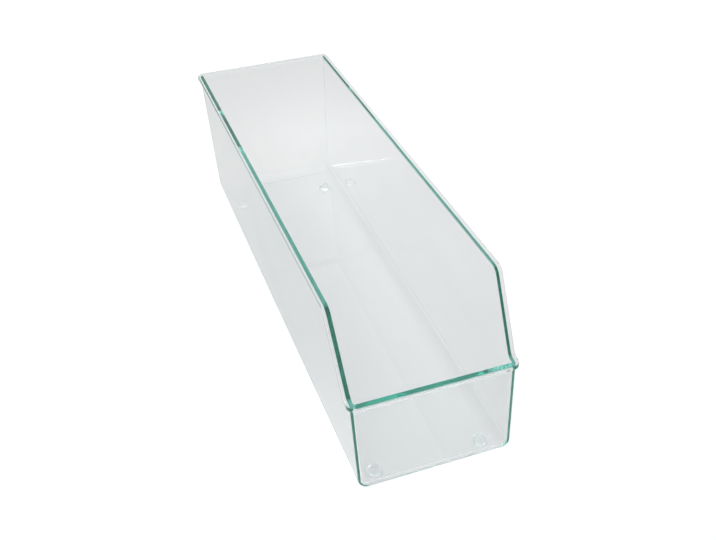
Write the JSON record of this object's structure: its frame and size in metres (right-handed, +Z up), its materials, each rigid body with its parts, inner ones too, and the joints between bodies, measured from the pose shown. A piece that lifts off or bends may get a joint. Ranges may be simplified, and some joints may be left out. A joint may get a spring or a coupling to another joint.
{
  "type": "storage_bin",
  "caption": "Long narrow clear plastic fridge bin with a tall back wall, a low scooped front, a small rim lip and clear bumper feet.",
  "frame": {"origin": "on the surface the bin stands on, under the middle of the bin's overall box", "axes": "+Z up, front (the low wall) towards -Y, long side along Y, width along X"},
  "size_m": [0.1026, 0.3682, 0.1131],
  "materials": {
    "clear_plastic": "smooth clear moulded plastic with a faint sea-green tint",
    "clear_bumper": "soft clear rubber"
  },
  "bodies": {
    "root": {"bin_shell": "clear_plastic", "foot_front_left": "clear_bumper", "foot_front_right": "clear_bumper", "foot_back_left": "clear_bumper", "foot_back_right": "clear_bumper"}
  },
  "joints": []
}
